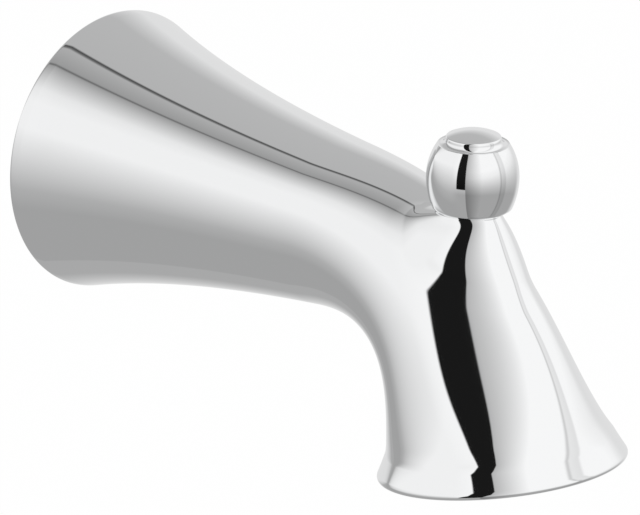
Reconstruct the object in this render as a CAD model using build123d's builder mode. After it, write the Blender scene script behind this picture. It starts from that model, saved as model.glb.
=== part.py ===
"""Wall-mounted bath spout with a lift-up shower diverter.

The origin is the centre of the wall rim, on the wall. X points out of the wall and Z points up.
Sizes are in millimetres and angles in degrees.
"""

import os
from math import cos, exp, pi, radians, sin

from build123d import *

os.makedirs("parts", exist_ok=True)

# Horn: its radius falls away from the wall rim towards the throat radius
rim_radius = 38.0
throat_radius = 14.6
taper_length = 71.5
horn_length = 83.0
wall = 2.8
edge_round = 0.9

# Elbow: a curved path from the horn's end to the bell's lip, with egg-shaped sections
elbow_lead_in = 34.5
elbow_lead_out = 28.8
elbow_pinch = 0.9
elbow_narrowing = 0.26
bell_growth = 3.6

# Outlet: a round mouth that leans forward, with a short flared lip
outlet_reach = 142.0
outlet_drop = 50.9
outlet_tilt = 10.1
outlet_radius = 32.6
lip_height = 6.7
lip_neck_radius = 29.0

# Hump under the knob, round the outlet's axis, and the valley behind it
knob_reach = 129.2
knob_seat = 15.0
hump_radius = 7.6
hump_slope = 0.2
hump_flare = 0.0045
hump_depth = 27.0
valley_round = 4.5

# Knob: a truncated ball with a bead and a low cap on top
knob_base_radius = 9.8
knob_radius = 11.75
knob_belly = 8.5
knob_shoulder_radius = 9.1
knob_shoulder = 17.4
bead_rise = 2.1
groove_depth = 0.35
knob_cap_radius = 6.4
knob_height = 20.3

# Water way: a brass tube from the pipe to the cast gate seat
pipe_thread_radius = 9.4
pipe_thread_length = 18.0
socket_length = 22.0
socket_hex = 26.0
tube_radius = 8.5
tube_bore = 6.5
collar_width = 2.5
bulkhead_reach = 88.0
tube_grip = 16.0
cast_wall = 3.0
port_radius = 5.5
port_drop = 2.0

# Diverter: lift rod, bush, gate and seals
lift = 13.0
rod_radius = 2.0
rod_head_radius = 3.4
rod_head_height = 1.5
rod_grip = 12.0
bush_wall = 2.4
bush_length = 6.0
bush_flange = 1.2
ring_section = 0.95
gate_half_width = 8.5
gate_half_height = 7.5
gate_thickness = 3.0
gate_corner = 2.5
gate_boss_wall = 2.4
gate_boss_length = 9.5
seal_radius = 7.0
seal_thickness = 1.5
stud_radius = 2.2
rail_wall = 2.2
clip_thickness = 0.6
clip_width = 1.6
clip_groove = 0.4

# Wall gasket, in a step behind the rim
gasket_depth = 2.5
gasket_width = 4.5
rim_edge = 2.2

# Fits
running_gap = 0.05
slide_gap = 0.12
free_gap = 0.5

# Places worked out from the sizes above
bell_axis = Vector(-sin(radians(outlet_tilt)), 0, cos(radians(outlet_tilt)))
bell_front = Vector(bell_axis.Z, 0, -bell_axis.X)
outlet_centre = Vector(outlet_reach, 0, -outlet_drop)
lip_neck = outlet_centre + bell_axis * lip_height
hump_top = Vector(knob_reach, 0, knob_seat)
rod_hole = rod_radius + running_gap
ring_outer = rod_hole + 2 * ring_section
bush_radius = rod_hole + bush_wall
bush_bottom = knob_seat - bush_length
ring_bottom = bush_bottom - 2 * ring_section
guide_radius = ring_outer + cast_wall / 2
gate_front = knob_reach - guide_radius - free_gap
gate_back = gate_front - gate_thickness
seat_face = gate_back - seal_thickness - slide_gap
gate_level = -port_drop - lift
gate_boss_radius = rod_hole + gate_boss_wall
gate_boss_top = gate_level + gate_boss_length / 2
gate_boss_bottom = gate_level - gate_boss_length / 2
guide_bottom = gate_boss_top + clip_thickness + lift + free_gap
tube_ring_outer = tube_radius + 2 * ring_section
barrel_radius = tube_ring_outer + cast_wall / 2
tube_end = bulkhead_reach + tube_grip
gasket_radius = rim_radius - rim_edge
rise = (Align.CENTER, Align.CENTER, Align.MIN)


def horn_radius(reach):
    """Radius of the horn at a distance from the wall."""
    return throat_radius + (rim_radius - throat_radius) * exp(-reach / taper_length)


def shell_sections(overrun):
    """Centre, direction, half height, pinch and narrowing of each section from wall to lip."""
    bend_end = lip_neck + bell_axis * elbow_lead_out
    with BuildLine(Plane.XZ) as elbow:
        Bezier(
            (horn_length, 0), (horn_length + elbow_lead_in, 0), (bend_end.X, bend_end.Z), (lip_neck.X, lip_neck.Z)
        )
    path = elbow.edge()
    neck = horn_radius(horn_length)
    slope = (throat_radius - neck) / taper_length
    flare = (outlet_radius - lip_neck_radius) / lip_height
    sections = []
    for reach in [-overrun] * (overrun > 0) + [horn_length * step / 6 for step in range(6)]:
        sections.append((Vector(reach, 0, 0), Vector(1, 0, 0), horn_radius(reach), 0, 0))
    for along in [step / 7 for step in range(8)]:
        half = neck + slope * path.length * along * (1 - along) ** 2
        half += (lip_neck_radius - neck) * along**bell_growth
        bend = 4 * along * (1 - along)
        sections.append((path @ along, path % along, half, elbow_pinch * bend, elbow_narrowing * bend))
    for drop in [lip_height / 2, lip_height] + [lip_height + overrun] * (overrun > 0):
        sections.append((lip_neck - bell_axis * drop, -bell_axis, lip_neck_radius + flare * drop, 0, 0))
    return sections


def shell_outlines(inset=0.0, overrun=0.0):
    """Outlines to loft for the shell's skin, or for a smaller skin inside it that may overrun its ends."""
    turns = [2 * pi * step / 24 for step in range(24)]
    outlines = []
    for centre, way, half, pinch, narrowing in shell_sections(overrun):
        tall = half - inset
        wide = tall - pinch
        with BuildSketch(Plane(origin=centre, x_dir=Vector(-way.Z, 0, way.X), z_dir=way)) as outline:
            with BuildLine():
                Spline([(tall * cos(a), wide * sin(a) * (1 - narrowing * cos(a))) for a in turns], periodic=True)
            make_face()
        outlines.append(outline.sketch.face())
    return outlines


# Outer skin, as a full solid
with BuildPart() as skin:
    loft(shell_outlines())
    with BuildSketch(Plane.XZ):
        with BuildLine():
            depths = [hump_depth * step / 5 for step in range(-1, 6)]
            radii = [hump_radius + hump_slope * d + hump_flare * d * d for d in depths]
            side = [hump_top - bell_axis * d + bell_front * r for d, r in zip(depths, radii)]
            foot = side[-1] - bell_axis * hump_depth / 3
            ends = [hump_top - bell_axis * d for d in (4 * hump_depth / 3, depths[0])]
            Spline([(p.X, p.Z) for p in side])
            Polyline([(p.X, p.Z) for p in (side[-1], foot, *ends, side[0])])
        make_face()
    revolve(axis=Axis(hump_top, bell_axis))
    with Locations(hump_top):
        Cylinder(1.2 * hump_radius, hump_depth, align=rise, mode=Mode.SUBTRACT)
    crease = faces().filter_by(GeomType.REVOLUTION).edges()
    fillet(crease.filter_by(lambda e: min(e.bounding_box().size.Y, e.bounding_box().size.Z) > 1), valley_round)
    fillet(faces().filter_by(GeomType.PLANE).sort_by(SortBy.AREA)[-2:].edges(), edge_round)

# Cast inside the shell: bulkhead, barrel, gate seat with its rails, and the rod guide
with BuildPart() as core:
    with BuildSketch(Plane.YZ.offset(bulkhead_reach)):
        Circle(rim_radius)
    extrude(amount=cast_wall)
    with BuildSketch(Plane.YZ.offset(bulkhead_reach)):
        Circle(barrel_radius)
    extrude(amount=seat_face - bulkhead_reach)
    rail_outer = gate_half_width + slide_gap + rail_wall
    rail_top = -port_drop + slide_gap
    rail_bottom = gate_level - gate_half_height - free_gap
    seat_top = -port_drop + gate_half_height
    with BuildSketch(Plane.YZ.offset(seat_face)):
        with Locations((0, (seat_top + rail_bottom) / 2)):
            Rectangle(2 * rail_outer, seat_top - rail_bottom)
    extrude(amount=-cast_wall)
    with BuildSketch(Plane.XY.offset(rail_bottom)):
        with BuildLine() as rail_line:
            lip_back = gate_front + slide_gap
            lip_front = lip_back + cast_wall / 2
            lip_inner = gate_half_width - cast_wall / 2
            Polyline(
                (seat_face, rail_outer), (lip_front, rail_outer), (lip_front, lip_inner), (lip_back, lip_inner),
                (lip_back, gate_half_width + slide_gap), (seat_face, gate_half_width + slide_gap), close=True,
            )
        make_face()
        mirror(about=Plane.XZ)
    extrude(amount=rail_top - rail_bottom)
    with Locations((knob_reach, 0, guide_bottom)):
        Cylinder(guide_radius, knob_seat - guide_bottom, align=rise)
    loft(shell_outlines(wall / 2), mode=Mode.INTERSECT)

with BuildPart() as spout_body:
    add(skin.part)
    loft(shell_outlines(wall, 2 * wall), mode=Mode.SUBTRACT)
    fillet(faces().filter_by(GeomType.PLANE).sort_by(Axis.Z)[0].edges().sort_by(SortBy.LENGTH)[0], edge_round)
    add(core.part)
    with BuildSketch(Plane.YZ.offset(bulkhead_reach)):
        Circle(tube_radius)
    extrude(amount=tube_grip, mode=Mode.SUBTRACT)
    with BuildSketch(Plane.YZ.offset(bulkhead_reach)):
        Circle(tube_ring_outer)
    extrude(amount=2 * ring_section, mode=Mode.SUBTRACT)
    with BuildSketch(Plane.YZ.offset(tube_end)):
        Circle(tube_bore)
    extrude(amount=seat_face - cast_wall - tube_end, mode=Mode.SUBTRACT)
    with BuildSketch(Plane.YZ.offset(seat_face)):
        with Locations((0, -port_drop)):
            Circle(port_radius)
    extrude(amount=-cast_wall, mode=Mode.SUBTRACT)
    with BuildSketch(Plane.YZ):
        Circle(gasket_radius)
    extrude(amount=gasket_depth, mode=Mode.SUBTRACT)
    with Locations((knob_reach, 0, guide_bottom)):
        Cylinder(rod_hole + slide_gap, knob_seat - guide_bottom, align=rise, mode=Mode.SUBTRACT)
    with Locations((knob_reach, 0, ring_bottom)):
        Cylinder(ring_outer, knob_seat - ring_bottom, align=rise, mode=Mode.SUBTRACT)
    with Locations((knob_reach, 0, bush_bottom)):
        Cylinder(bush_radius, bush_length, align=rise, mode=Mode.SUBTRACT)
    with Locations((knob_reach, 0, knob_seat - bush_flange)):
        Cylinder(bush_radius + bush_flange, bush_flange, align=rise, mode=Mode.SUBTRACT)

spout_body.part.label = "spout_body"
export_step(spout_body.part, "parts/spout_body.step")

# Brass tube: hexagon socket for the pipe, collar, and an end that screws into the barrel
with BuildPart() as waterway_tube:
    with BuildSketch(Plane.YZ):
        RegularPolygon(socket_hex / 2, 6, major_radius=False)
    extrude(amount=socket_length)
    with BuildSketch(Plane.YZ):
        Circle(tube_radius)
    extrude(amount=tube_end)
    with BuildSketch(Plane.YZ.offset(bulkhead_reach)):
        Circle(barrel_radius - free_gap)
    extrude(amount=-collar_width)
    with BuildSketch(Plane.YZ):
        Circle(pipe_thread_radius)
    extrude(amount=pipe_thread_length, mode=Mode.SUBTRACT)
    with BuildSketch(Plane.YZ):
        Circle(tube_bore)
    extrude(amount=tube_end, mode=Mode.SUBTRACT)

waterway_tube.part.label = "waterway_tube"
export_step(waterway_tube.part, "parts/waterway_tube.step")

# Rubber ring between the tube's collar and the barrel's mouth
with BuildPart() as tube_o_ring:
    with Locations(Plane.YZ.offset(bulkhead_reach + ring_section)):
        Torus(tube_radius + ring_section, ring_section)

tube_o_ring.part.label = "tube_o_ring"
export_step(tube_o_ring.part, "parts/tube_o_ring.step")

# Foam ring behind the rim, flush with the wall
with BuildPart() as wall_gasket:
    with BuildSketch(Plane.YZ):
        Circle(gasket_radius)
        Circle(gasket_radius - gasket_width, mode=Mode.SUBTRACT)
    extrude(amount=gasket_depth)

wall_gasket.part.label = "wall_gasket"
export_step(wall_gasket.part, "parts/wall_gasket.step")

# Brass guide bush, flush with the hump's top
with BuildPart() as rod_bush:
    with Locations((knob_reach, 0, bush_bottom)):
        Cylinder(bush_radius, bush_length, align=rise)
    with Locations((knob_reach, 0, knob_seat - bush_flange)):
        Cylinder(bush_radius + bush_flange, bush_flange, align=rise)
    with Locations((knob_reach, 0, bush_bottom)):
        Cylinder(rod_hole, bush_length, align=rise, mode=Mode.SUBTRACT)

rod_bush.part.label = "rod_bush"
export_step(rod_bush.part, "parts/rod_bush.step")

# Rubber ring round the rod, under the bush
with BuildPart() as rod_o_ring:
    with Locations((knob_reach, 0, bush_bottom - ring_section)):
        Torus(rod_hole + ring_section, ring_section)

rod_o_ring.part.label = "rod_o_ring"
export_step(rod_o_ring.part, "parts/rod_o_ring.step")

# Steel lift rod: flat head below the gate, groove for the clip, top end in the knob
with BuildPart() as lift_rod:
    with Locations((knob_reach, 0, gate_boss_bottom - rod_head_height)):
        Cylinder(rod_head_radius, rod_head_height, align=rise)
        Cylinder(rod_radius, knob_seat + rod_grip - gate_boss_bottom + rod_head_height, align=rise)
    with BuildSketch(Plane.XY.offset(gate_boss_top)):
        with Locations((knob_reach, 0)):
            Circle(rod_radius)
            Circle(rod_radius - clip_groove, mode=Mode.SUBTRACT)
    extrude(amount=clip_thickness, mode=Mode.SUBTRACT)

lift_rod.part.label = "lift_rod"
export_step(lift_rod.part, "parts/lift_rod.step")

# Knob, turned in one piece, with a blind hole for the rod
with BuildPart() as diverter_knob:
    with BuildSketch(Plane.XZ.shift_origin((knob_reach, 0, knob_seat))) as knob_side:
        with BuildLine():
            TangentArc((knob_radius, knob_belly), (knob_base_radius, 0), tangent=(0, -1))
            TangentArc((knob_radius, knob_belly), (knob_shoulder_radius, knob_shoulder), tangent=(0, 1))
            bead_foot = (knob_shoulder_radius - groove_depth, knob_shoulder - groove_depth / 2)
            bead_head = (knob_cap_radius + groove_depth, knob_shoulder + bead_rise)
            cap_foot = (knob_cap_radius, bead_head[1] - groove_depth / 2)
            Line((knob_shoulder_radius, knob_shoulder), bead_foot)
            ThreePointArc(bead_foot, (bead_foot[0] - 0.7, bead_head[1] - 0.75), bead_head)
            Line(bead_head, cap_foot)
            TangentArc((0, knob_height), cap_foot, tangent=(1, 0))
            Polyline((0, knob_height), (0, 0), (knob_base_radius, 0))
        make_face()
    revolve(axis=Axis((knob_reach, 0, 0), (0, 0, 1)))
    fillet(faces().filter_by(GeomType.PLANE).edges(), edge_round)
    with Locations((knob_reach, 0, knob_seat)):
        Cylinder(rod_radius, rod_grip, align=rise, mode=Mode.SUBTRACT)

diverter_knob.part.label = "diverter_knob"
export_step(diverter_knob.part, "parts/diverter_knob.step")

# Plastic gate: a plate in the rails, with a boss that hangs on the rod's head
with BuildPart() as diverter_gate:
    with BuildSketch(Plane.YZ.offset(gate_back)):
        with Locations((0, gate_level)):
            RectangleRounded(2 * gate_half_width, 2 * gate_half_height, gate_corner)
    extrude(amount=gate_thickness)
    with BuildSketch(Plane.XY.offset(gate_boss_bottom)):
        with Locations((knob_reach, 0)):
            Circle(gate_boss_radius)
        with Locations(((gate_front + knob_reach) / 2, 0)):
            Rectangle(knob_reach - gate_front, 2 * gate_boss_radius)
    extrude(amount=gate_boss_length)
    with Locations((knob_reach, 0, gate_boss_bottom)):
        Cylinder(rod_hole, gate_boss_length, align=rise, mode=Mode.SUBTRACT)
    with BuildSketch(Plane.YZ.offset(gate_back)):
        with Locations((0, gate_level)):
            Circle(stud_radius)
    extrude(amount=gate_thickness / 2, mode=Mode.SUBTRACT)

diverter_gate.part.label = "diverter_gate"
export_step(diverter_gate.part, "parts/diverter_gate.step")

# Rubber seal on the gate's back, held by a stud in the plate
with BuildPart() as gate_seal:
    with BuildSketch(Plane.YZ.offset(gate_back)):
        with Locations((0, gate_level)):
            Circle(seal_radius)
    extrude(amount=-seal_thickness)
    with BuildSketch(Plane.YZ.offset(gate_back)):
        with Locations((0, gate_level)):
            Circle(stud_radius)
    extrude(amount=gate_thickness / 2)

gate_seal.part.label = "gate_seal"
export_step(gate_seal.part, "parts/gate_seal.step")

# Steel clip in the rod's groove, on top of the gate's boss
with BuildPart() as gate_clip:
    with BuildSketch(Plane.XY.offset(gate_boss_top)):
        with Locations((knob_reach, 0)):
            Circle(rod_radius + clip_width)
            Circle(rod_radius - clip_groove, mode=Mode.SUBTRACT)
        with Locations((knob_reach + rod_radius + clip_width, 0)):
            Rectangle(2 * (clip_width + rod_radius), 2 * rod_radius - 1, mode=Mode.SUBTRACT)
    extrude(amount=clip_thickness)

gate_clip.part.label = "gate_clip"
export_step(gate_clip.part, "parts/gate_clip.step")
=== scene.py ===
import math

import bmesh
import bpy
import numpy as np
from mathutils import Matrix, Vector
from mathutils.bvhtree import BVHTree


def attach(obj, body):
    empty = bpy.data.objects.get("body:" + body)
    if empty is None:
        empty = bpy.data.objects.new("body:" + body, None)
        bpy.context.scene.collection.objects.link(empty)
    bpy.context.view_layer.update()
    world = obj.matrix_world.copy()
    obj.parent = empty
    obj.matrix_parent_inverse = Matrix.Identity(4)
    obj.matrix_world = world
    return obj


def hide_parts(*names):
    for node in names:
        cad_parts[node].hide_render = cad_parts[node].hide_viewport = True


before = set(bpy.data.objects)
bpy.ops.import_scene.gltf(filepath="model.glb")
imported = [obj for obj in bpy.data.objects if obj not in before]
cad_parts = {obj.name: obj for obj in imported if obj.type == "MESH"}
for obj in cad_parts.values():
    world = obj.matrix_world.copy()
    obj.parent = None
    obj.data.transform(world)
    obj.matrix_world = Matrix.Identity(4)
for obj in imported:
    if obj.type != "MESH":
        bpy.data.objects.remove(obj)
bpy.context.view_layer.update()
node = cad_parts

# Spout body: one zinc casting with the wall rim, horn, elbow, bell and neck, and the water ways inside it.
# Its outside is ground, buffed and chromed to a mirror, so the neck runs into the elbow over a soft crease.
# This skin is made here; the inside is the solid's own, and keeps the grain of the casting under thin dull plate.
chrome_tone = (0.92, 0.925, 0.93, 1.0)
chrome_relief = (0.02, 0.00002)
buffing_clouds = (42.0, 5.0)
buffing_gloss = (0.02, 0.045)
casting_tone = (0.5, 0.5, 0.49, 1.0)
casting_shade = (0.4, 0.4, 0.39, 1.0)
casting_clouds = (900.0, 3.0)
casting_gloss = (0.3, 0.5)
casting_relief = (0.35, 0.0004)
grain_low = 0.3
grain_high = 0.7
rim_radius = 0.038
rim_step_radius = 0.0358
throat_radius = 0.0146
taper_length = 0.0715
horn_length = 0.083
wall = 0.0028
edge_round = 0.0009
elbow_lead_in = 0.0226
elbow_lead_out = 0.0414
elbow_narrowing = 0.34
bend_peak = 27 / 4
bell_growth = 4.16
outlet_centre = np.array((0.142, 0.0, -0.0509))
outlet_tilt = math.radians(10.1)
outlet_radius = 0.0326
lip_height = 0.0067
lip_neck_radius = 0.029
lip_blend = 0.0008
lip_tuck = wall / 2
lip_sink = wall / 5
neck_top = np.array((0.1292, 0.0, 0.015))
neck_radius = 0.00805
neck_slope = 0.313
neck_width = 0.0073
neck_spread = 0.0098
neck_spread_depth = 0.007
neck_tail = 0.028
neck_tail_depth = 0.0015
neck_lean_depth = 0.004
neck_top_narrowing = 0.12
neck_foot_narrowing = 0.25
neck_depth = 0.0275
neck_overrun = 0.007
neck_cut_radius = 0.0096
crease_blend = 0.001
bush_hole_radius = 0.00565
skin_points = 288
top_gathering = 0.7
horn_rings = 44
elbow_rings = 150
bend_gathering = 0.12
lip_rings = 10
round_rings = 6
curve_steps = 1000
lean_rounds = 6
narrowing_rounds = 4
march_step = 0.00025
march_steps = 140
halvings = 20
same_place = 1e-6
same_skin = 0.0003
near_skin = 0.0022
alike_facing = 0.3
sharp_edge = math.radians(38.0)
bell_axis = np.array((-math.sin(outlet_tilt), 0.0, math.cos(outlet_tilt)))
lip_neck = outlet_centre + bell_axis * lip_height
lip_flare = (outlet_radius - lip_neck_radius) / lip_height


def soft_least(first, second, blend):
    """The lesser of two values, with a soft change from one to the other."""
    share = np.clip(0.5 + 0.5 * (second - first) / blend, 0.0, 1.0)
    return second + (first - second) * share - blend * share * (1.0 - share)


def horn_radius(reach):
    """Radius of the horn at a distance from the wall."""
    return throat_radius + (rim_radius - throat_radius) * np.exp(-reach / taper_length)


def elbow_course(along):
    """Places at shares of the elbow's curve: centres, directions and the length of the whole."""
    corners = [np.array((horn_length, 0.0, 0.0)), np.array((horn_length + elbow_lead_in, 0.0, 0.0)),
               lip_neck + bell_axis * elbow_lead_out, lip_neck]
    share = np.linspace(0.0, 1.0, curve_steps + 1)[:, None]
    rest = 1.0 - share
    curve = (rest**3 * corners[0] + 3 * rest**2 * share * corners[1] + 3 * rest * share**2 * corners[2]
             + share**3 * corners[3])
    lengths = np.concatenate(([0.0], np.cumsum(np.linalg.norm(np.diff(curve, axis=0), axis=1))))
    centres = np.stack([np.interp(along * lengths[-1], lengths, curve[:, axis]) for axis in range(3)], axis=1)
    ways = np.gradient(centres, along, axis=0)
    ways[0] = (1.0, 0.0, 0.0)
    ways[-1] = -bell_axis
    return centres, ways / np.linalg.norm(ways, axis=1)[:, None], lengths[-1]


def bell_half(along, length):
    """Half height of the elbow and bell at a share of the elbow's length; past its end the lip flares."""
    throat = horn_radius(horn_length)
    slope = (throat_radius - throat) / taper_length
    swell = throat + slope * length * along * (1.0 - along) ** 2 + (lip_neck_radius - throat) * along**bell_growth
    flare = lip_neck_radius + lip_flare * (along - 1.0) * length
    return -soft_least(-swell, -flare, lip_blend)


def round_edge(centre, first, last):
    """Places on the rounding of an edge, each a distance along and a radius, between two angles in degrees."""
    turn = np.radians(np.linspace(first, last, round_rings))
    return np.stack([centre[0] + edge_round * np.cos(turn), centre[1] + edge_round * np.sin(turn)], axis=1)


def horn_profile():
    """Distances from the wall and radii, from the step behind the rim to just short of the elbow."""
    rim_slope = math.atan((rim_radius - throat_radius) / taper_length)
    rim_inner = horn_radius(0.0) - edge_round * math.tan(rim_slope) - edge_round / math.cos(rim_slope)
    rim = round_edge((edge_round, rim_inner), 180.0, 90.0 - math.degrees(rim_slope))
    rim[-1, 1] = horn_radius(rim[-1, 0])
    reaches = np.linspace(rim[-1, 0], horn_length, horn_rings)[1:-1]
    return np.concatenate(([(0.0, rim_step_radius)], rim, np.stack([reaches, horn_radius(reaches)], axis=1)))


def lip_profile(length):
    """Drops below the bell's neck and radii, down the flare, round the lip and tucked in behind the inner wall."""
    lip_lean = math.atan(lip_flare)
    lip_back = edge_round / math.cos(lip_lean)
    lip_drop = lip_height - edge_round
    outer_centre = (lip_drop, lip_neck_radius + lip_flare * lip_drop - lip_back)
    inner_centre = (lip_drop, lip_neck_radius - wall + lip_flare * lip_drop + lip_back)
    outer = round_edge(outer_centre, 90.0 + math.degrees(lip_lean), 0.0)
    inner = round_edge(inner_centre, 0.0, math.degrees(lip_lean) - 90.0)
    drops = np.linspace(0.0, outer[0, 0], lip_rings)[1:-1]
    flare = np.stack([drops, bell_half(1.0 + drops / length, length)], axis=1)
    tuck = inner[-1] - np.array((1.0, lip_flare)) * lip_tuck + np.array((0.0, lip_sink))
    return np.concatenate((flare, outer, inner, [tuck]))


def neck_gap(places):
    """Distance of places from the neck's side, less than nothing inside it."""
    off = places - neck_top
    depth = -off @ bell_axis
    for _ in range(lean_rounds):
        lean = outlet_tilt * (1.0 - np.exp(-np.maximum(depth, 0.0) / neck_lean_depth))
        below = off + depth[..., None] * bell_axis
        depth = depth + below[..., 0] * np.sin(lean) - below[..., 2] * np.cos(lean)
    below = off + depth[..., None] * bell_axis
    along = below[..., 0] * np.cos(lean) + below[..., 2] * np.sin(lean)
    sunk = np.maximum(depth, 0.0)
    front = neck_radius + neck_slope * sunk
    back = neck_radius + (neck_tail - neck_radius) * (1.0 - np.exp(-sunk / neck_tail_depth))
    wide = neck_width + neck_spread * (1.0 - np.exp(-sunk / neck_spread_depth))
    narrowing = neck_top_narrowing + (neck_foot_narrowing - neck_top_narrowing) * sunk / neck_depth
    along = along - (front - back) / 2
    lengthwise = along / ((front + back) / 2)
    sideways = off[..., 1] / wide
    size = np.hypot(lengthwise, sideways)
    for _ in range(narrowing_rounds):
        size = np.hypot(lengthwise, sideways / (1.0 - narrowing * np.clip(lengthwise / size, -1.0, 1.0)))
    side = np.hypot(along, off[..., 1]) * (1.0 - 1.0 / size)
    return np.maximum(np.maximum(side, depth - neck_depth), off[..., 2] - neck_overrun)


def over_neck(centre, spokes, plain):
    """Radii of one ring of the elbow, carried out to the neck's side where the neck stands on it."""
    radii = plain.copy()
    near = neck_gap(centre + plain[:, None] * spokes) < crease_blend
    if not near.any():
        return radii
    ray, bare = spokes[near], plain[near]
    low, high = bare, bare
    leaving = np.zeros(len(bare), dtype=bool)
    for _ in range(march_steps):
        step = np.where(leaving, high, high + march_step)
        gap = soft_least(step - bare, neck_gap(centre + step[:, None] * ray), crease_blend)
        low = np.where(leaving, low, high)
        high = step
        leaving = leaving | (gap > 0.0)
    for _ in range(halvings):
        middle = (low + high) / 2
        gap = soft_least(middle - bare, neck_gap(centre + middle[:, None] * ray), crease_blend)
        low, high = np.where(gap > 0.0, low, middle), np.where(gap > 0.0, middle, high)
    radii[near] = high
    return radii


def skin_rings():
    """Rings of the casting's outside from the step behind the rim to the inner edge of the lip."""
    turn = np.linspace(0.0, 2 * math.pi, skin_points, endpoint=False)
    turn = turn - top_gathering * np.sin(turn)
    along = np.linspace(0.0, 1.0, elbow_rings + 1)
    along = along + bend_gathering * np.sin(2 * math.pi * along)
    centres, ways, length = elbow_course(along)
    bend = bend_peak * along**2 * (1.0 - along)
    rings = [(np.array((reach, 0.0, 0.0)), np.array((1.0, 0.0, 0.0)), half, 0.0) for reach, half in horn_profile()]
    rings += list(zip(centres, ways, bell_half(along, length), elbow_narrowing * bend))
    rings += [(lip_neck - bell_axis * drop, -bell_axis, half, 0.0) for drop, half in lip_profile(length)]
    places = []
    for centre, way, half, narrowing in rings:
        outward = np.array((-way[2], 0.0, way[0]))
        tall = half * np.cos(turn)
        wide = half * np.sin(turn) * (1.0 - narrowing * np.cos(turn))
        spokes = tall[:, None] * outward + wide[:, None] * np.array((0.0, 1.0, 0.0))
        plain = np.linalg.norm(spokes, axis=1)
        spokes = spokes / plain[:, None]
        radii = over_neck(centre, spokes, plain) if narrowing > 0.0 else plain
        places.append(centre + radii[:, None] * spokes)
    return places


rings = skin_rings()
skin = bmesh.new()
place_number = skin.verts.layers.int.new("place")
ring = bmesh.ops.create_circle(skin, segments=skin_points, radius=1.0)["verts"]
for number, vert in enumerate(ring):
    vert[place_number] = number
    vert.co = rings[0][number]
edges = list(skin.edges)
for places in rings[1:]:
    added = bmesh.ops.extrude_edge_only(skin, edges=edges)["geom"]
    edges = [part for part in added if isinstance(part, bmesh.types.BMEdge) and part.is_boundary]
    for vert in added:
        if isinstance(vert, bmesh.types.BMVert):
            vert.co = places[vert[place_number]]
by_knob = []
for face in skin.faces:
    middle = face.calc_center_median()
    if (middle.xy - Vector(neck_top[:2])).length < neck_cut_radius and middle.z > 0.0:
        by_knob.append(face)
geom = list(dict.fromkeys(part for face in by_knob for part in [face, *face.edges, *face.verts]))
bmesh.ops.bisect_plane(skin, geom=geom, plane_co=neck_top, plane_no=(0.0, 0.0, 1.0), clear_outer=True)
top_edge = [edge for edge in skin.edges
            if edge.is_boundary and all(abs(vert.co.z - neck_top[2]) < same_place for vert in edge.verts)]
for vert in bmesh.ops.extrude_edge_only(skin, edges=top_edge)["geom"]:
    if isinstance(vert, bmesh.types.BMVert):
        off_axis = (vert.co - Vector(neck_top)).xy.normalized() * bush_hole_radius
        vert.co = Vector(neck_top) + Vector((off_axis.x, off_axis.y, 0.0))
skin.normal_update()
back_faces = [face for face in skin.faces if face.calc_center_median().x < same_place]
if back_faces[0].normal.x > 0.0:
    bmesh.ops.reverse_faces(skin, faces=skin.faces)
outside = BVHTree.FromBMesh(skin)
casting_mesh = bmesh.new()
casting_mesh.from_mesh(node["spout_body"].data)
bmesh.ops.remove_doubles(casting_mesh, verts=casting_mesh.verts, dist=same_place)
covered = []
for face in casting_mesh.faces:
    face.material_index = 1
    middle = face.calc_center_median()
    place, facing, _, distance = outside.find_nearest(middle)
    on_bend = middle.x > horn_length and (middle - Vector(lip_neck)).dot(Vector(bell_axis)) > wall
    beyond = on_bend and (middle - place).dot(facing) > -same_skin
    close = distance < (near_skin if on_bend else same_skin)
    if beyond or close and facing.dot(face.normal) > alike_facing:
        covered.append(face)
bmesh.ops.delete(casting_mesh, geom=covered, context="FACES")
skin_data = bpy.data.meshes.new("spout_shell")
skin.to_mesh(skin_data)
skin.free()
casting_mesh.from_mesh(skin_data)
casting_mesh.to_mesh(skin_data)
casting_mesh.free()
skin_data.shade_smooth()
skin_data.set_sharp_from_angle(angle=sharp_edge)
spout_shell = bpy.data.objects.new("spout_shell", skin_data)
bpy.context.scene.collection.objects.link(spout_shell)


def finish(name):
    """A new material, with its nodes, its links, its shader and the object's own coordinates."""
    material = bpy.data.materials.new(name)
    material.use_nodes = True
    tree = material.node_tree
    coordinates = tree.nodes.new("ShaderNodeTexCoord").outputs["Object"]
    return material, tree.nodes, tree.links, tree.nodes["Principled BSDF"], coordinates


def grain_of(nodes, links, coordinates, scale, detail):
    """Fine cloudy grain with so many clouds to a metre."""
    noise = nodes.new("ShaderNodeTexNoise")
    noise.inputs["Scale"].default_value = scale
    noise.inputs["Detail"].default_value = detail
    links.new(coordinates, noise.inputs["Vector"])
    return noise.outputs["Fac"]


def spread(nodes, links, value, low, high):
    """A grain value brought between two limits."""
    limits = nodes.new("ShaderNodeMapRange")
    limits.inputs["From Min"].default_value = grain_low
    limits.inputs["From Max"].default_value = grain_high
    limits.inputs["To Min"].default_value = low
    limits.inputs["To Max"].default_value = high
    links.new(value, limits.inputs["Value"])
    return limits.outputs["Result"]


def between(nodes, links, share, first, second):
    """A mix of two colours, plain or linked."""
    mix = nodes.new("ShaderNodeMix")
    mix.data_type = "RGBA"
    links.new(share, mix.inputs["Factor"])
    for socket, value in (("A", first), ("B", second)):
        if isinstance(value, tuple):
            mix.inputs[socket].default_value = value
        else:
            links.new(value, mix.inputs[socket])
    return mix.outputs["Result"]


def raise_grain(nodes, links, shader, height, strength, depth):
    """The grain as a bump on the shader's surface, so many metres deep."""
    bump = nodes.new("ShaderNodeBump")
    bump.inputs["Strength"].default_value = strength
    bump.inputs["Distance"].default_value = depth
    links.new(height, bump.inputs["Height"])
    links.new(bump.outputs["Normal"], shader.inputs["Normal"])


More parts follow.
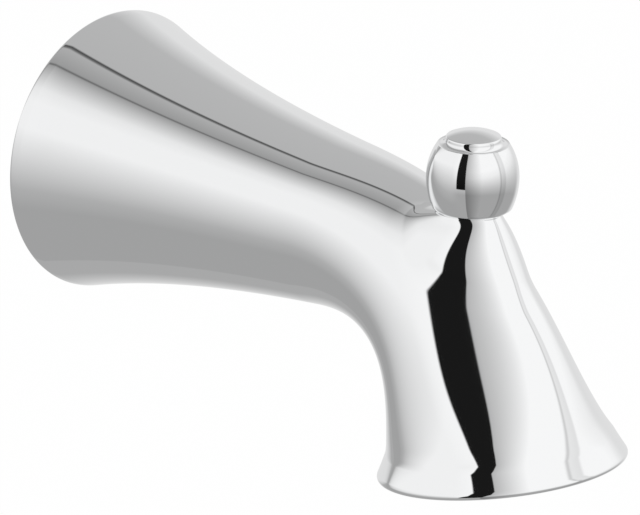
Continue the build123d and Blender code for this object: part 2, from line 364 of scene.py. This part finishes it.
def chromed(name, clouds, gloss):
    """Mirror chrome whose gloss is a little uneven; clouds are the grain's scale and detail."""
    material, nodes, links, shader, coordinates = finish(name)
    shader.inputs["Metallic"].default_value = 1.0
    shader.inputs["Base Color"].default_value = chrome_tone
    grain = grain_of(nodes, links, coordinates, *clouds)
    links.new(spread(nodes, links, grain, *gloss), shader.inputs["Roughness"])
    raise_grain(nodes, links, shader, grain, *chrome_relief)
    return material


def toned(shader, nodes, links, grain, tones, gloss):
    """The shader's colour and gloss made to follow a grain, each between two values."""
    links.new(between(nodes, links, grain, *tones), shader.inputs["Base Color"])
    links.new(spread(nodes, links, grain, *gloss), shader.inputs["Roughness"])


def grained(name, metallic, tones, clouds, gloss, relief):
    """A material whose colour, gloss and bump all follow one grain."""
    material, nodes, links, shader, coordinates = finish(name)
    shader.inputs["Metallic"].default_value = metallic
    grain = grain_of(nodes, links, coordinates, *clouds)
    toned(shader, nodes, links, grain, tones, gloss)
    raise_grain(nodes, links, shader, grain, *relief)
    return material


def dress(name, material):
    """The material on a node of the model."""
    node[name].data.materials.clear()
    node[name].data.materials.append(material)


spout_chrome = chromed("spout_chrome", buffing_clouds, buffing_gloss)
cast_plate = grained("cast_plate", 1.0, (casting_tone, casting_shade), casting_clouds, casting_gloss, casting_relief)
skin_data.materials.append(spout_chrome)
skin_data.materials.append(cast_plate)
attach(spout_shell, "spout")
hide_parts("spout_body")

# Water way tube: a turned brass tube with a hexagon socket at the wall end for the pipe and the wrench.
# It screws into the barrel that is cast in the body. The lathe leaves fine rings along it, and the brass dulls.
tube_tones = ((0.76, 0.56, 0.27, 1.0), (0.6, 0.42, 0.19, 1.0))
stain_clouds = (130.0, 6.0)
tube_gloss = (0.2, 0.36)
lathe_rings = 620.0
lathe_wander = 0.6
lathe_relief = (0.12, 0.00006)
tube_brass, nodes, links, shader, coordinates = finish("tube_brass")
shader.inputs["Metallic"].default_value = 1.0
toned(shader, nodes, links, grain_of(nodes, links, coordinates, *stain_clouds), tube_tones, tube_gloss)
lathe = nodes.new("ShaderNodeTexWave")
lathe.bands_direction = "X"
lathe.inputs["Scale"].default_value = lathe_rings
lathe.inputs["Distortion"].default_value = lathe_wander
links.new(coordinates, lathe.inputs["Vector"])
raise_grain(nodes, links, shader, lathe.outputs["Fac"], *lathe_relief)
dress("waterway_tube", tube_brass)

# Pipe thread: the tapped thread in the tube's socket, which takes the half-inch pipe in the wall.
# It is cut in the brass itself, fourteen turns to the inch, and starts just inside the socket's mouth.
thread_pitch = 0.001814
thread_half_width = 0.42 * thread_pitch
thread_turns = 8
thread_steps = 48
thread_start = 0.0014
thread_root = 0.00944
thread_crest = 0.0087
thread_mesh = bmesh.new()
profile = [(-thread_half_width, thread_root), (0.0, thread_crest), (thread_half_width, thread_root)]
corners = [thread_mesh.verts.new((thread_start + reach, 0.0, radius)) for reach, radius in profile]
sides = [thread_mesh.edges.new((corners[number], corners[number - 1])) for number in range(3)]
bmesh.ops.spin(thread_mesh, geom=corners + sides, cent=(0.0, 0.0, 0.0), axis=(1.0, 0.0, 0.0),
               dvec=(thread_pitch / thread_steps, 0.0, 0.0), angle=2 * math.pi * thread_turns,
               steps=thread_steps * thread_turns, use_merge=False)
open_ends = [edge for edge in thread_mesh.edges if edge.is_boundary]
bmesh.ops.holes_fill(thread_mesh, edges=open_ends, sides=3)
bmesh.ops.recalc_face_normals(thread_mesh, faces=thread_mesh.faces)
thread_data = bpy.data.meshes.new("pipe_thread")
thread_mesh.to_mesh(thread_data)
thread_mesh.free()
pipe_thread = bpy.data.objects.new("pipe_thread", thread_data)
bpy.context.scene.collection.objects.link(pipe_thread)
thread_data.materials.append(tube_brass)
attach(pipe_thread, "spout")

# Rubber rings: moulded black rings, one between the tube's collar and the barrel, one round the lift rod.
# They are pressed into their grooves and seal the water in; the mould leaves a faint bloom on them.
ring_tones = ((0.022, 0.022, 0.023, 1.0), (0.042, 0.041, 0.04, 1.0))
bloom_clouds = (700.0, 4.0)
ring_gloss = (0.5, 0.72)
bloom_relief = (0.15, 0.0001)
ring_rubber = grained("ring_rubber", 0.0, ring_tones, bloom_clouds, ring_gloss, bloom_relief)
dress("tube_o_ring", ring_rubber)
dress("rod_o_ring", ring_rubber)

# Wall gasket: a flat ring of closed-cell foam, cut from sheet and stuck in the step behind the rim.
# It keeps the rim off the tiles and stops water running behind them; its cut cells show as small pits.
foam_tones = ((0.07, 0.07, 0.075, 1.0), (0.15, 0.15, 0.16, 1.0))
foam_cells = 1400.0
foam_gloss = (0.78, 0.95)
foam_relief = (0.5, 0.0003)
gasket_foam, nodes, links, shader, coordinates = finish("gasket_foam")
cells = nodes.new("ShaderNodeTexVoronoi")
cells.inputs["Scale"].default_value = foam_cells
links.new(coordinates, cells.inputs["Vector"])
toned(shader, nodes, links, cells.outputs["Distance"], foam_tones, foam_gloss)
raise_grain(nodes, links, shader, cells.outputs["Distance"], *foam_relief)
dress("wall_gasket", gasket_foam)

# Rod bush: a turned brass bush with a flange, pressed into the neck under the knob to guide the lift rod.
# Its bore and flange are burnished by the rod and the knob, so it is brighter than the tube.
bush_tones = ((0.78, 0.59, 0.3, 1.0), (0.66, 0.48, 0.22, 1.0))
wear_clouds = (420.0, 4.0)
bush_gloss = (0.14, 0.28)
wear_relief = (0.06, 0.00005)
bush_brass = grained("bush_brass", 1.0, bush_tones, wear_clouds, bush_gloss, wear_relief)
dress("rod_bush", bush_brass)

# Lift rod: drawn stainless rod with a flat upset head below and a screwed end in the knob above.
# Drawing leaves fine scratches along it, so its gloss is streaked from end to end.
rod_tone = (0.6, 0.6, 0.6, 1.0)
streak_stretch = (2600.0, 2600.0, 60.0)
streak_clouds = (1.0, 4.0)
rod_gloss = (0.16, 0.34)
streak_relief = (0.08, 0.00004)
rod_steel, nodes, links, shader, coordinates = finish("rod_steel")
shader.inputs["Metallic"].default_value = 1.0
shader.inputs["Base Color"].default_value = rod_tone
drawn = nodes.new("ShaderNodeMapping")
drawn.inputs["Scale"].default_value = streak_stretch
links.new(coordinates, drawn.inputs["Vector"])
streaks = grain_of(nodes, links, drawn.outputs["Vector"], *streak_clouds)
links.new(spread(nodes, links, streaks, *rod_gloss), shader.inputs["Roughness"])
raise_grain(nodes, links, shader, streaks, *streak_relief)
dress("lift_rod", rod_steel)

# Diverter gate: a moulded white acetal plate that slides in the cast rails, with a boss that hangs on the rod.
# The mould gives it a fine satin grain, and water leaves it slightly cloudy.
gate_tones = ((0.84, 0.84, 0.82, 1.0), (0.76, 0.76, 0.73, 1.0))
water_clouds = (160.0, 5.0)
satin_clouds = (1800.0, 2.0)
gate_gloss = (0.36, 0.52)
satin_relief = (0.1, 0.00008)
gate_plastic, nodes, links, shader, coordinates = finish("gate_plastic")
toned(shader, nodes, links, grain_of(nodes, links, coordinates, *water_clouds), gate_tones, gate_gloss)
raise_grain(nodes, links, shader, grain_of(nodes, links, coordinates, *satin_clouds), *satin_relief)
dress("diverter_gate", gate_plastic)

# Gate seal: a soft black rubber pad on the gate's face, held by a stud moulded on its back.
# When the knob is lifted it covers the port in the gate seat, so its face is smooth and dull.
seal_tones = ((0.03, 0.03, 0.033, 1.0), (0.055, 0.055, 0.057, 1.0))
dust_clouds = (900.0, 3.0)
seal_gloss = (0.6, 0.8)
dust_relief = (0.2, 0.0001)
seal_rubber = grained("seal_rubber", 0.0, seal_tones, dust_clouds, seal_gloss, dust_relief)
dress("gate_seal", seal_rubber)

# Gate clip: a stamped spring-steel clip, snapped into the rod's groove on top of the gate's boss.
# It is oil-hardened, so it is darker than the rod and slightly mottled.
clip_tones = ((0.48, 0.48, 0.49, 1.0), (0.36, 0.355, 0.35, 1.0))
mottle_clouds = (1500.0, 4.0)
clip_gloss = (0.26, 0.44)
mottle_relief = (0.1, 0.00005)
clip_steel = grained("clip_steel", 1.0, clip_tones, mottle_clouds, clip_gloss, mottle_relief)
dress("gate_clip", clip_steel)

# Diverter knob: turned from brass bar in one piece, with a cove under its low domed cap, then polished and chromed.
# It screws onto the lift rod and rests on the neck; fingers leave its plate a little less even than the body's.
touch_clouds = (120.0, 5.0)
touch_gloss = (0.02, 0.05)
knob_base_radius = 0.0098
knob_radius = 0.01175
knob_belly = 0.0085
knob_shoulder_radius = 0.0091
knob_shoulder = 0.0174
knob_foot_round = 0.0009
knob_groove = 0.00035
cove_radius = 0.0017
cap_radius = 0.0066
cap_edge = 0.01945
cap_top = 0.0209
cap_round = ((0.00033, 0.00022), (0.00018, 0.00006))
belly_steps = 16
cove_steps = 10
dome_steps = 12
knob_turns = 96


def arc_places(centre, radius, first, last, steps):
    """Places on an arc between two angles, each a radius from the knob's axis and a height above its seat."""
    angles = [first + (last - first) * step / steps for step in range(steps + 1)]
    return [(centre[0] + radius * math.cos(angle), centre[1] + radius * math.sin(angle)) for angle in angles]


def belly_arc(end_radius, end_height):
    """Radius of the arc that leaves the knob's widest place upright and runs to an end."""
    inset = knob_radius - end_radius
    return (inset**2 + (end_height - knob_belly) ** 2) / (2 * inset)


lower = belly_arc(knob_base_radius, 0.0)
upper = belly_arc(knob_shoulder_radius, knob_shoulder)
foot_angle = math.asin((knob_foot_round - knob_belly) / lower)
shoulder_angle = math.asin((knob_shoulder - knob_belly) / upper)
dome = (cap_radius**2 + (cap_top - cap_edge) ** 2) / (2 * (cap_top - cap_edge))
cove_foot = knob_shoulder_radius - knob_groove
cove_centre = (cove_foot, knob_shoulder - knob_groove / 2 + cove_radius)
knob_profile = [(0.0, 0.0), (knob_base_radius - knob_foot_round, 0.0)]
knob_profile += arc_places((knob_radius - lower, knob_belly), lower, foot_angle, 0.0, belly_steps)
knob_profile += arc_places((knob_radius - upper, knob_belly), upper, 0.0, shoulder_angle, belly_steps)[1:]
knob_profile += arc_places(cove_centre, cove_radius, 1.5 * math.pi, math.pi, cove_steps)
knob_profile += [(cap_radius + out, cap_edge - down) for out, down in cap_round]
knob_profile += arc_places((0.0, cap_top - dome), dome, math.acos(cap_radius / dome), math.pi / 2, dome_steps)
knob_mesh = bmesh.new()
corners = [knob_mesh.verts.new((neck_top[0] + radius, 0.0, neck_top[2] + height)) for radius, height in knob_profile]
sides = [knob_mesh.edges.new(pair) for pair in zip(corners, corners[1:])]
bmesh.ops.spin(knob_mesh, geom=corners + sides, cent=tuple(neck_top), axis=(0.0, 0.0, 1.0), angle=2 * math.pi,
               steps=knob_turns, use_merge=True)
bmesh.ops.remove_doubles(knob_mesh, verts=knob_mesh.verts, dist=same_place)
bmesh.ops.recalc_face_normals(knob_mesh, faces=knob_mesh.faces)
knob_data = bpy.data.meshes.new("turned_knob")
knob_mesh.to_mesh(knob_data)
knob_mesh.free()
knob_data.shade_smooth()
knob_data.set_sharp_from_angle(angle=sharp_edge)
knob_data.materials.append(chromed("knob_chrome", touch_clouds, touch_gloss))
turned_knob = bpy.data.objects.new("turned_knob", knob_data)
bpy.context.scene.collection.objects.link(turned_knob)
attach(turned_knob, "diverter")
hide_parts("diverter_knob")

# Studio: towards the wall, a grey ceiling with one dark seam and one thin line between two pale panels, rolled
# round the horn; towards the room, a white sweep that darkens to the floor, with two grey screens in it.
# One black card beside the spout draws the dark band on the chrome. The camera sees only white.
far_panel = [(-160.0, 0.42), (-125.0, 0.76), (-70.0, 0.78), (-43.0, 0.5)]
ceiling_seam = [(0.6, 0.48), (1.2, 0.06), (2.6, 0.06), (3.4, 0.45)]
ceiling_line = [(18.9, 0.34), (19.4, 0.14), (20.4, 0.14), (21.0, 0.36)]
near_panel = [(40.0, 0.86), (50.0, 0.94), (70.0, 0.94)]
floor_side = [(115.0, 0.45), (130.0, 0.38)]
sweep_greys = [(-0.42, 0.39), (-0.2, 0.59), (0.1, 0.91), (0.28, 1.0)]
left_screen = [(-180.0, 1.0), (-66.0, 1.0), (-65.0, 0.5), (-25.0, 1.0)]
right_screen = [(22.0, 1.0), (26.0, 0.6), (29.0, 0.85), (40.0, 0.8), (43.0, 1.0)]
card_width = [(-180.0, 1.0), (-88.0, 1.0), (-87.7, 0.01), (-65.0, 0.01), (-64.7, 1.0)]
card_base = [(-0.28, 1.0), (-0.275, 0.0)]
room_edge = [(-0.2, 0.0), (0.1, 1.0)]
half_turn = 180.0
white_tone = (1.0, 1.0, 1.0, 1.0)
studio = bpy.data.worlds.new("studio")
bpy.context.scene.world = studio
studio.use_nodes = True
nodes = studio.node_tree.nodes
links = studio.node_tree.links
direction = nodes.new("ShaderNodeTexCoord").outputs["Generated"]
split = nodes.new("ShaderNodeSeparateXYZ")
links.new(direction, split.inputs["Vector"])


def sums(nodes, links, operation, first, second):
    """One sum of two values, of which the second may be a plain number."""
    sum_node = nodes.new("ShaderNodeMath")
    sum_node.operation = operation
    links.new(first, sum_node.inputs[0])
    if isinstance(second, float):
        sum_node.inputs[1].default_value = second
    else:
        links.new(second, sum_node.inputs[1])
    return sum_node.outputs["Value"]


def angle_of(across, ahead):
    """The angle in degrees, from one way ahead towards one way across."""
    degrees = nodes.new("ShaderNodeMath")
    degrees.operation = "DEGREES"
    links.new(sums(nodes, links, "ARCTAN2", across, ahead), degrees.inputs[0])
    return degrees.outputs["Value"]


def greys(value, limit, stops):
    """Greys over a value that runs to a limit on both sides of nothing; each stop is a value and its grey."""
    reach = nodes.new("ShaderNodeMapRange")
    reach.inputs["From Min"].default_value = -limit
    reach.inputs["From Max"].default_value = limit
    links.new(value, reach.inputs["Value"])
    ramp = nodes.new("ShaderNodeValToRGB")
    links.new(reach.outputs["Result"], ramp.inputs["Fac"])
    points = ramp.color_ramp.elements
    points.remove(points[1])
    for number, (at, grey) in enumerate(stops):
        share = (at + limit) / (2 * limit)
        point = points.new(share) if number else points[0]
        point.position = share
        point.color = (grey, grey, grey, 1.0)
    return ramp.outputs["Color"]


def shade(kind, first, second):
    """Two greys laid over each other."""
    cover = nodes.new("ShaderNodeMix")
    cover.data_type = "RGBA"
    cover.blend_type = kind
    cover.inputs["Factor"].default_value = 1.0
    links.new(first, cover.inputs["A"])
    links.new(second, cover.inputs["B"])
    return cover.outputs["Result"]


rolled = angle_of(sums(nodes, links, "MULTIPLY", split.outputs["Y"], -1.0), split.outputs["Z"])
bearing = angle_of(split.outputs["Y"], split.outputs["X"])
wall_half = greys(rolled, half_turn, far_panel + ceiling_seam + ceiling_line + near_panel + floor_side)
sweep = greys(split.outputs["Z"], 1.0, sweep_greys)
screens = greys(bearing, half_turn, left_screen + right_screen)
room_half = shade("MULTIPLY", sweep, screens)
room_share = greys(split.outputs["X"], 1.0, room_edge)
card = shade("LIGHTEN", greys(bearing, half_turn, card_width), greys(split.outputs["Z"], 1.0, card_base))
surroundings = shade("MULTIPLY", between(nodes, links, room_share, wall_half, room_half), card)
seen = nodes.new("ShaderNodeLightPath").outputs["Is Camera Ray"]
links.new(between(nodes, links, seen, surroundings, white_tone), nodes["Background"].inputs["Color"])

# Floor: a pale paper sweep well below the spout, white to the camera but for the spout's faint soft shadow.
# The chrome doesn't mirror it, because the studio's own greys stand for it. From below it is clear.
floor_level = -0.2
floor_middle = 0.08
floor_half = 3.0
floor_roughness = 0.9
paper_tones = ((0.9, 0.9, 0.9, 1.0), (0.88, 0.88, 0.88, 1.0))
paper_clouds = (9.0, 2.0)
camera_white = 0.985
floor_mesh = bmesh.new()
bmesh.ops.create_grid(floor_mesh, x_segments=1, y_segments=1, size=floor_half,
                      matrix=Matrix.Translation((floor_middle, 0.0, floor_level)))
floor_data = bpy.data.meshes.new("floor")
floor_mesh.to_mesh(floor_data)
floor_mesh.free()
floor = bpy.data.objects.new("floor", floor_data)
bpy.context.scene.collection.objects.link(floor)
floor.visible_glossy = False
pale_floor, nodes, links, shader, coordinates = finish("pale_floor")
shader.inputs["Roughness"].default_value = floor_roughness
paper = grain_of(nodes, links, coordinates, *paper_clouds)
links.new(between(nodes, links, paper, *paper_tones), shader.inputs["Base Color"])
white = nodes.new("ShaderNodeEmission")
white.inputs["Strength"].default_value = 1.0
ray = nodes.new("ShaderNodeLightPath").outputs["Is Camera Ray"]
lit = nodes.new("ShaderNodeMixShader")
links.new(sums(nodes, links, "MULTIPLY", ray, camera_white), lit.inputs["Fac"])
links.new(shader.outputs["BSDF"], lit.inputs[1])
links.new(white.outputs["Emission"], lit.inputs[2])
under = nodes.new("ShaderNodeNewGeometry").outputs["Backfacing"]
clear = nodes.new("ShaderNodeBsdfTransparent")
top_side = nodes.new("ShaderNodeMixShader")
links.new(under, top_side.inputs["Fac"])
links.new(lit.outputs["Shader"], top_side.inputs[1])
links.new(clear.outputs["BSDF"], top_side.inputs[2])
links.new(top_side.outputs["Shader"], nodes["Material Output"].inputs["Surface"])
floor_data.materials.append(pale_floor)

# Lamp: one wide soft box, high up and on the camera's left, aimed at the middle of the spout.
# It lights the rubber, plastic and floor; metal doesn't mirror it, because the studio's greys stand for it.
lamp_size = 1.2
lamp_power = 9.0
lamp_place = (-0.2, -0.9, 1.3)
spout_middle = Vector((0.08, 0.0, -0.01))
soft_box = bpy.data.lights.new("soft_box", "AREA")
soft_box.shape = "DISK"
soft_box.size = lamp_size
soft_box.energy = lamp_power
lamp = bpy.data.objects.new("soft_box", soft_box)
lamp.location = lamp_place
lamp.rotation_euler = (spout_middle - lamp.location).to_track_quat("-Z", "Y").to_euler()
lamp.visible_glossy = False
bpy.context.scene.collection.objects.link(lamp)

# Camera: it stands to the right of the spout and a little above it, with a long lens, as for the photograph.
# Its angles, lens and shift come from fitting the spout's outline to the photograph's edge.
side = math.radians(43.25)
height = math.radians(19.52)
roll = math.radians(1.02)
distance = 1.5
focal_pixels = 5808.8
image_width = 640
shift_left = 0.00209
shift_down = 0.00058
outward = Vector((math.sin(side) * math.cos(height), -math.cos(side) * math.cos(height), math.sin(height)))
right = Vector((math.cos(side), math.sin(side), 0.0))
up = outward.cross(right)
aim = spout_middle - shift_left * right - shift_down * up
rolled_right = math.cos(roll) * right + math.sin(roll) * up
rolled_up = math.cos(roll) * up - math.sin(roll) * right
stand = Matrix((rolled_right, rolled_up, outward)).transposed().to_4x4()
stand.translation = aim + distance * outward
lens = bpy.data.cameras.new("camera")
lens.sensor_width = 36.0
lens.lens = focal_pixels * lens.sensor_width / image_width
camera = bpy.data.objects.new("camera", lens)
camera.matrix_world = stand
bpy.context.scene.collection.objects.link(camera)
bpy.context.scene.camera = camera
bpy.context.scene.view_settings.view_transform = "Standard"
